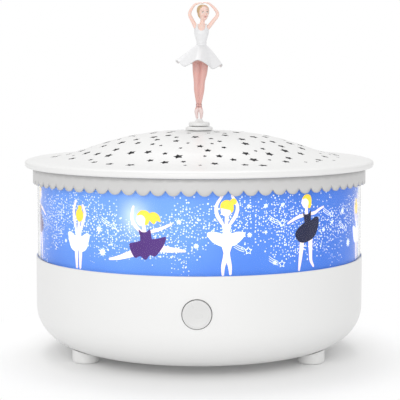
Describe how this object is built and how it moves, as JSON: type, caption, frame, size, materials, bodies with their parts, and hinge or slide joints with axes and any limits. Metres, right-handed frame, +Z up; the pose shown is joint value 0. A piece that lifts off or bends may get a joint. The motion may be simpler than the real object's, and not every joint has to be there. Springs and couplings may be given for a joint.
{
  "type": "star projector music lamp with turning dancer",
  "caption": "Round music lamp with a lit picture band, star-pierced domed lid, push button and a dancer figure that turns on a geared spindle.",
  "frame": {"origin": "centre of the three feet on the floor, on the dancer's turning axis", "axes": "+Z up along the turning axis, the push button faces -Y, +X to the viewer's right"},
  "size_m": [0.171, 0.171, 0.1722],
  "materials": {
    "white_plastic": "smooth satin white moulding",
    "clear_plastic": "clear polished plastic",
    "printed_film": "translucent printed film",
    "black_plastic": "moulded",
    "grey_plastic": "moulded",
    "gear_nylon": "moulded",
    "bright_steel": "plated",
    "brass": "turned",
    "circuit_board": "solder mask",
    "cell_jacket": "plain printed jacket",
    "led_lens": "clear lens",
    "speaker_paper": "pressed paper",
    "wire_cover": "flexible",
    "dancer_skin": "painted",
    "dancer_hair": "painted",
    "dancer_dress": "pearl painted"
  },
  "bodies": {
    "casing": {"axle_a": "bright_steel", "axle_b": "bright_steel", "band_window": "clear_plastic", "base_shell": "white_plastic", "battery_cell_1": "cell_jacket", "battery_cell_2": "cell_jacket", "battery_cell_3": "cell_jacket", "battery_contact_left": "bright_steel", "battery_contact_right": "bright_steel", "battery_cover": "white_plastic", "battery_cover_screw": "bright_steel", "battery_tray": "grey_plastic", "deck_plate": "white_plastic", "deck_screw_1": "bright_steel", "deck_screw_2": "bright_steel", "deck_screw_3": "bright_steel", "foot_back": "white_plastic", "foot_front_left": "white_plastic", "foot_front_right": "white_plastic", "gearbox_base": "black_plastic", "gearbox_cover": "black_plastic", "gearbox_screw_1": "bright_steel", "gearbox_screw_2": "bright_steel", "led_1": "led_lens", "led_2": "led_lens", "led_3": "led_lens", "led_board": "circuit_board", "led_lead": "wire_cover", "lid_dome": "white_plastic", "lid_screw_1": "bright_steel", "lid_screw_2": "bright_steel", "lid_screw_3": "bright_steel", "main_board": "circuit_board", "motor_can": "bright_steel", "motor_lead": "wire_cover", "picture_film": "printed_film", "scalloped_skirt": "white_plastic", "sound_chip": "black_plastic", "speaker_cone": "speaker_paper", "speaker_frame": "black_plastic", "speaker_lead": "wire_cover", "speaker_magnet": "bright_steel", "spindle_bush": "brass", "spindle_tube": "white_plastic", "switch_board": "circuit_board", "switch_body": "black_plastic", "top_bush": "white_plastic"},
    "figure": {"spindle": "bright_steel", "spindle_gear": "gear_nylon", "pedestal": "white_plastic", "dancer_body": "dancer_skin", "dancer_arms": "dancer_skin", "dancer_head": "dancer_hair", "dancer_tutu": "dancer_dress"},
    "gear_a_body": {"gear_a": "gear_nylon"},
    "gear_b_body": {"gear_b": "gear_nylon"},
    "motor_rotor": {"motor_shaft": "bright_steel", "motor_pinion": "gear_nylon"},
    "button": {"button_cap": "white_plastic", "switch_plunger": "black_plastic"}
  },
  "joints": [
    {"name": "figure_spin", "type": "hinge", "parent": "casing", "child": "figure", "pos_m": [0, 0, 0], "axis": [0, 0, 1], "continuous": true},
    {"name": "gear_a_spin", "type": "hinge", "parent": "casing", "child": "gear_a_body", "pos_m": [0.00487, -0.00844, 0.03], "axis": [0, 0, 1], "continuous": true},
    {"name": "gear_b_spin", "type": "hinge", "parent": "casing", "child": "gear_b_body", "pos_m": [0.01448, -0.01014, 0.027], "axis": [0, 0, 1], "continuous": true},
    {"name": "motor_spin", "type": "hinge", "parent": "casing", "child": "motor_rotor", "pos_m": [0.01278, -0.01974, 0.025], "axis": [0, 0, 1], "continuous": true},
    {"name": "button_press", "type": "slide", "parent": "casing", "child": "button", "axis": [0, 1, 0], "range_m": [0, 0.0012], "stiffness_N_per_m": 800, "springref_m": -0.0008}
  ],
  "couplings": [
    {"joint": "gear_a_spin", "follows": "figure_spin", "ratio": -3},
    {"joint": "gear_b_spin", "follows": "figure_spin", "ratio": 9},
    {"joint": "motor_spin", "follows": "figure_spin", "ratio": -27}
  ]
}
